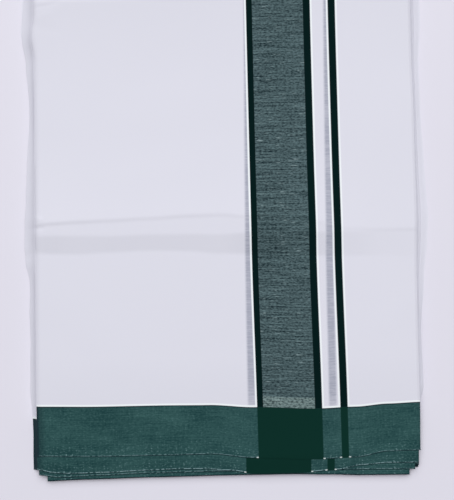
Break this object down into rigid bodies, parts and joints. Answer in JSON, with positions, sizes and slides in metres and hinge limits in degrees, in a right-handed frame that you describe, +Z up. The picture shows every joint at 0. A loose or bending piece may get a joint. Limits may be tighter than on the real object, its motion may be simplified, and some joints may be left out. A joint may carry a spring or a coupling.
{
  "type": "folded dhoti cloth",
  "caption": "Unstitched white cotton dhoti with green woven borders and end bands, fan-folded into a flat pack that lies on a surface.",
  "frame": {"origin": "middle of the pack's footprint, on the surface it lies on", "axes": "+Y along the pack from the stepped selvedges to the centre folds, +X from the cloth's cut end to the folded side, +Z up out of the top ply"},
  "size_m": [0.3648, 0.6572, 0.0148],
  "materials": {
    "white_cotton": "plain-woven bleached cotton, matt",
    "green_border": "woven green cotton border, matt"
  },
  "bodies": {
    "root": {"top_ply": "white_cotton", "second_ply": "white_cotton", "second_panel": "green_border", "third_panel": "green_border", "hidden_panels": "white_cotton"}
  },
  "joints": []
}
